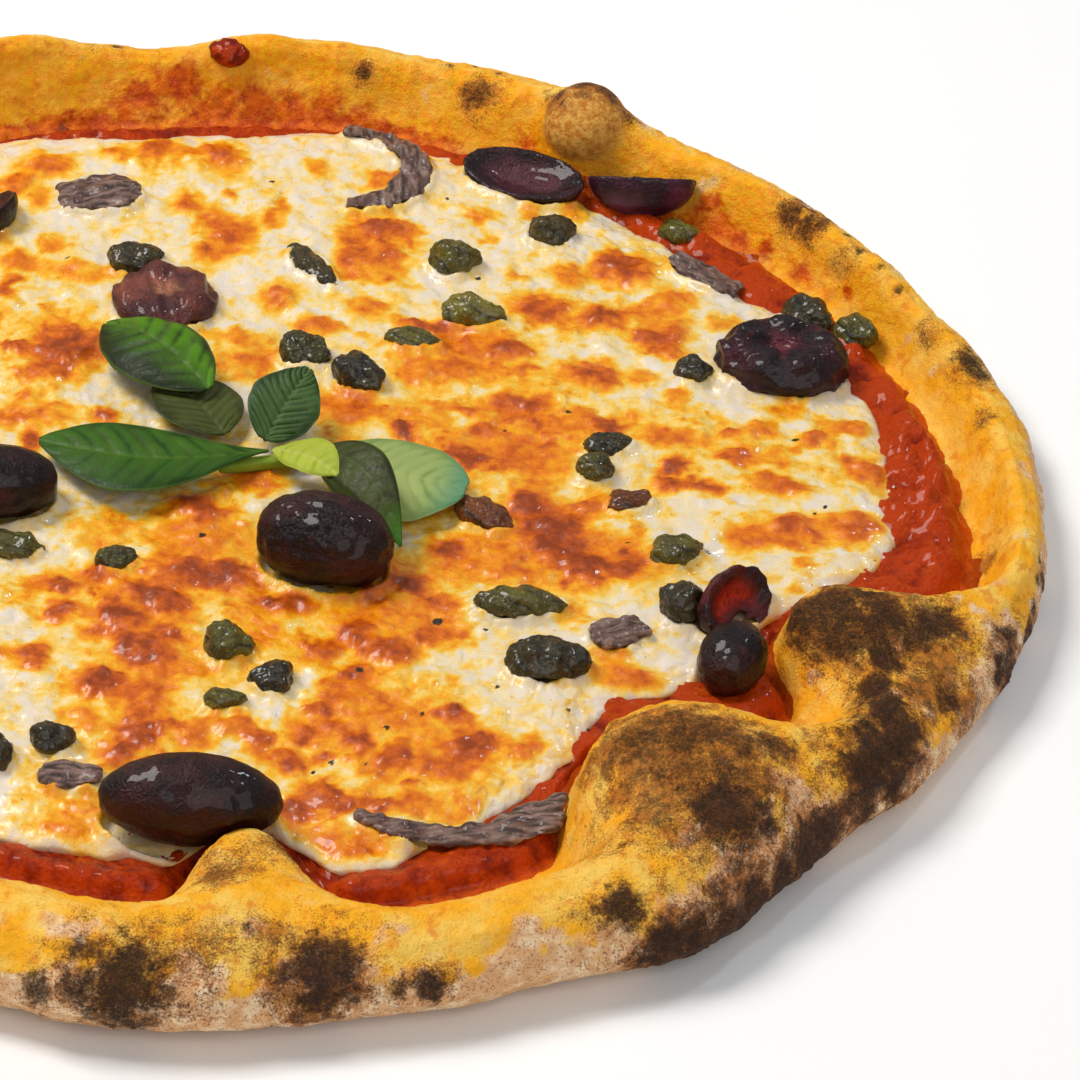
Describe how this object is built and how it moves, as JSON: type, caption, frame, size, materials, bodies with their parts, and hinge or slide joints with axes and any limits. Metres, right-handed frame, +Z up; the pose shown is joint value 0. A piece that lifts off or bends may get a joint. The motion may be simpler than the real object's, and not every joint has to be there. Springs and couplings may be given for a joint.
{
  "type": "sicilian pizza",
  "caption": "Whole round baked pizza with a tall blistered rim, tomato, melted mozzarella, olives, capers, anchovy strips and a basil sprig.",
  "frame": {"origin": "middle of the flat underside", "axes": "+Z up out of the topping; -Y is the side the picture is taken from, +X is to its right"},
  "size_m": [0.3055, 0.3005, 0.024],
  "materials": {
    "dough": "baked, matt, with browned and charred spots",
    "sauce": "wet, coarse",
    "cheese": "melted, oily, browned in spots",
    "olive": "glossy, lightly wrinkled skin",
    "caper": "wrinkled, moist",
    "anchovy": "fibrous, oily",
    "basil": "satin leaf with veins"
  },
  "bodies": {
    "root": {"dough": "dough", "tomato_sauce": "sauce", "mozzarella": "cheese", "tomato_blob": "sauce", "olive_front": "olive", "olive_centre": "olive", "olive_left": "olive", "olive_back_open": "olive", "olive_far_half": "olive", "olive_far_boat": "olive", "olive_right_torn": "olive", "olive_strip": "olive", "olive_tip": "olive", "olive_far_left": "olive", "olive_west_torn": "olive", "olive_south_west": "olive", "olive_south": "olive", "anchovy_back_left": "anchovy", "anchovy_back_hook": "anchovy", "anchovy_right": "anchovy", "anchovy_front": "anchovy", "anchovy_front_left": "anchovy", "anchovy_middle": "anchovy", "anchovy_west": "anchovy", "caper_01": "caper", "caper_02": "caper", "caper_03": "caper", "caper_04": "caper", "caper_05": "caper", "caper_06": "caper", "caper_07": "caper", "caper_08": "caper", "caper_09": "caper", "caper_10": "caper", "caper_11": "caper", "caper_12": "caper", "caper_13": "caper", "caper_14": "caper", "caper_15": "caper", "caper_16": "caper", "caper_17": "caper", "caper_18": "caper", "caper_19": "caper", "caper_20": "caper", "caper_21": "caper", "caper_22": "caper", "caper_23": "caper", "caper_24": "caper", "caper_25": "caper", "caper_26": "caper", "caper_27": "caper", "caper_28": "caper", "basil_stalk": "basil", "basil_left": "basil", "basil_under": "basil", "basil_back": "basil", "basil_small": "basil", "basil_pale": "basil", "basil_dark": "basil", "basil_bract": "basil"}
  },
  "joints": []
}
